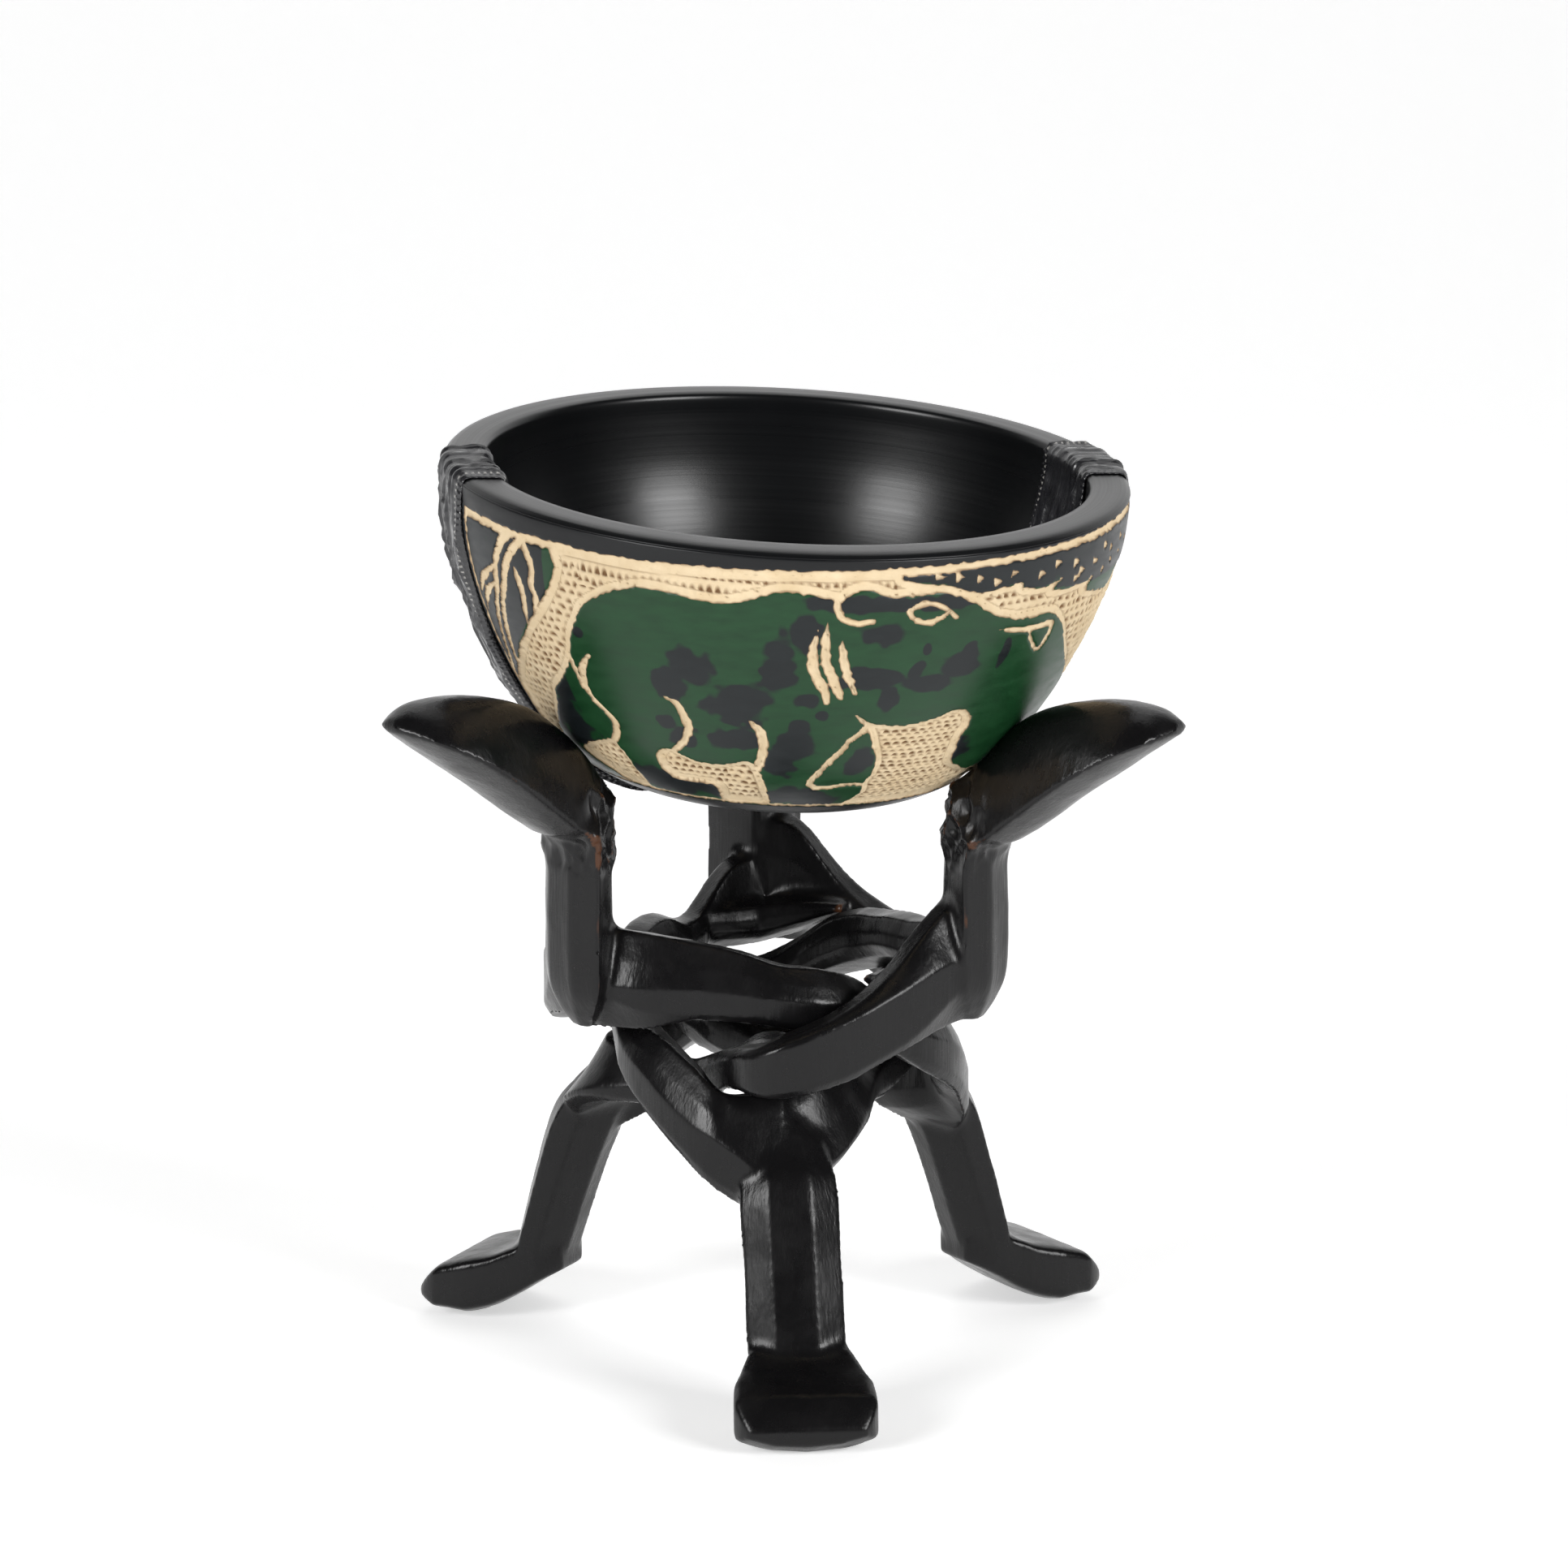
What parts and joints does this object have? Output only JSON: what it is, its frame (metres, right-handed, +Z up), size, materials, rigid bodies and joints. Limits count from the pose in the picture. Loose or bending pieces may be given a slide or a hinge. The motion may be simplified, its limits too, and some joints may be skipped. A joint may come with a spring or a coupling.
{
  "type": "carved bowl on interlocking stand",
  "caption": "Carved and painted wooden bowl with leather straps, resting on a folding stand of interlocked carved wooden legs.",
  "frame": {"origin": "on the ground, under the middle of the object's bounding box", "axes": "+Z up through the bowl's opening, -Y the front where one foot points, +X the right"},
  "size_m": [0.2076, 0.2172, 0.2481],
  "materials": {
    "stand_wood": "black stained, carved, satin wax",
    "bowl_wood": "black and green painted, carved through to pale wood",
    "strap_leather": "black, glossy, wrinkled"
  },
  "bodies": {
    "front_leg": {"leg_front": "stand_wood"},
    "left_leg": {"leg_left": "stand_wood"},
    "right_leg": {"leg_right": "stand_wood"},
    "bowl": {"bowl": "bowl_wood", "strap_left": "strap_leather", "strap_right": "strap_leather"}
  },
  "joints": [
    {"name": "left_leg_fold", "type": "hinge", "parent": "front_leg", "child": "left_leg", "pos_m": [0, -0.00915, 0.09], "axis": [-0.866, 0.5, 0], "range_deg": [0, 20]},
    {"name": "right_leg_fold", "type": "hinge", "parent": "front_leg", "child": "right_leg", "pos_m": [0, -0.00915, 0.09], "axis": [-0.866, -0.5, 0], "range_deg": [0, 20]},
    {"name": "bowl_lift", "type": "slide", "parent": "front_leg", "child": "bowl", "axis": [0, 0, 1], "range_m": [0, 0.06]}
  ],
  "couplings": [
    {"joint": "right_leg_fold", "follows": "left_leg_fold", "ratio": 1},
    {"joint": "bowl_lift", "follows": "left_leg_fold", "m_per_rad": 0.158}
  ]
}
